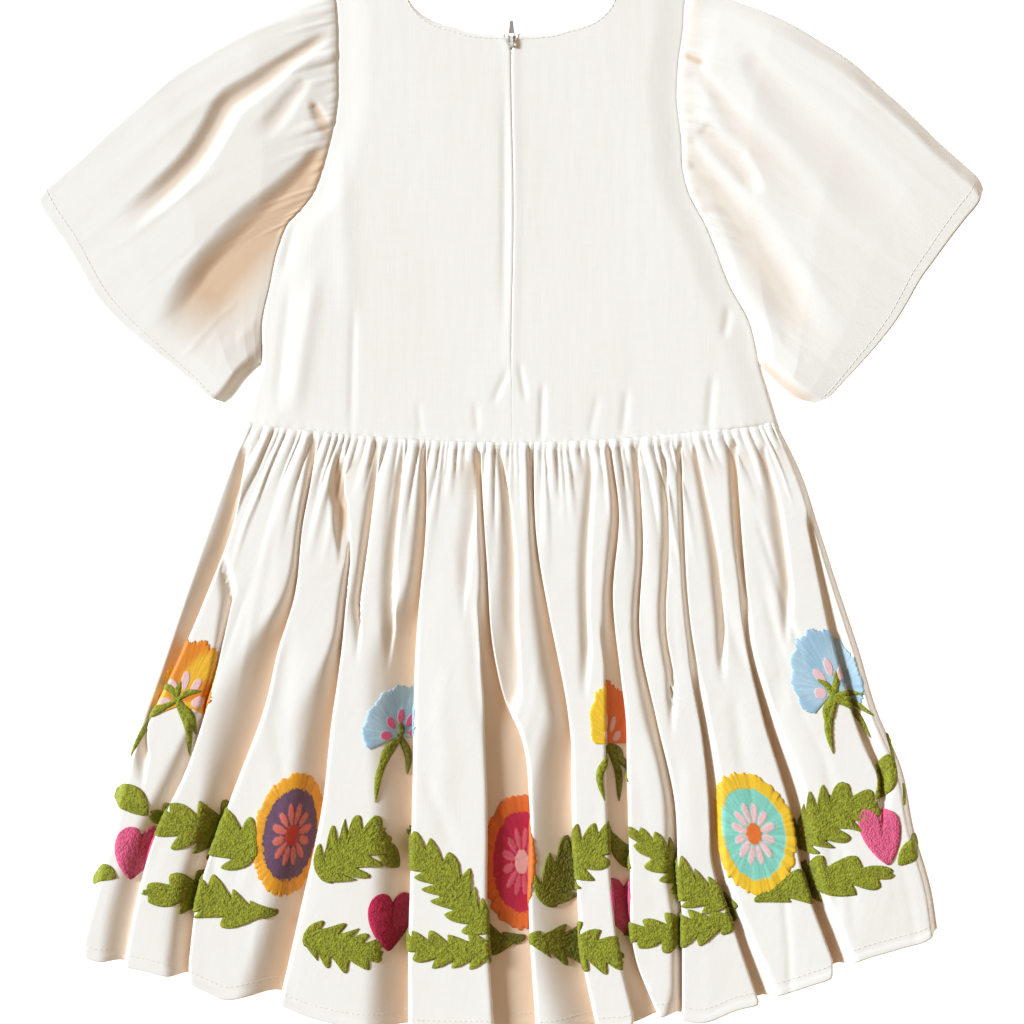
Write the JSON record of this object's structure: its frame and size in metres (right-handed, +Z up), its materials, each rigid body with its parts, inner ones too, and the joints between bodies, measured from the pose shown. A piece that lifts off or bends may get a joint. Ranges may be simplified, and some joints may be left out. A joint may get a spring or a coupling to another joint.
{
  "type": "short-sleeved dress",
  "caption": "Child's dress laid flat with the back up: flutter sleeves, centre-back zip, gathered skirt with an embroidered flower border.",
  "frame": {"origin": "middle of the overall length and width, on the surface the dress lies on", "axes": "+X to the right of the back view, +Y to the neck, +Z up from the surface"},
  "size_m": [0.606, 0.6754, 0.0163],
  "materials": {
    "cloth": "soft off-white plain weave",
    "zip_tape": "woven tape",
    "zip_metal": "off-white enamel"
  },
  "bodies": {
    "dress": {"bodice_front": "cloth", "bodice_back_left": "cloth", "bodice_back_right": "cloth", "sleeve_left": "cloth", "sleeve_right": "cloth", "skirt_back": "cloth", "skirt_front": "cloth", "zip_tape": "zip_tape", "zip_slider": "zip_metal"},
    "pull": {"zip_pull": "zip_metal"}
  },
  "joints": [
    {"name": "pull_hinge", "type": "hinge", "parent": "dress", "child": "pull", "pos_m": [0, 0.298, 0.0055], "axis": [1, 0, 0], "range_deg": [0, 172]}
  ]
}
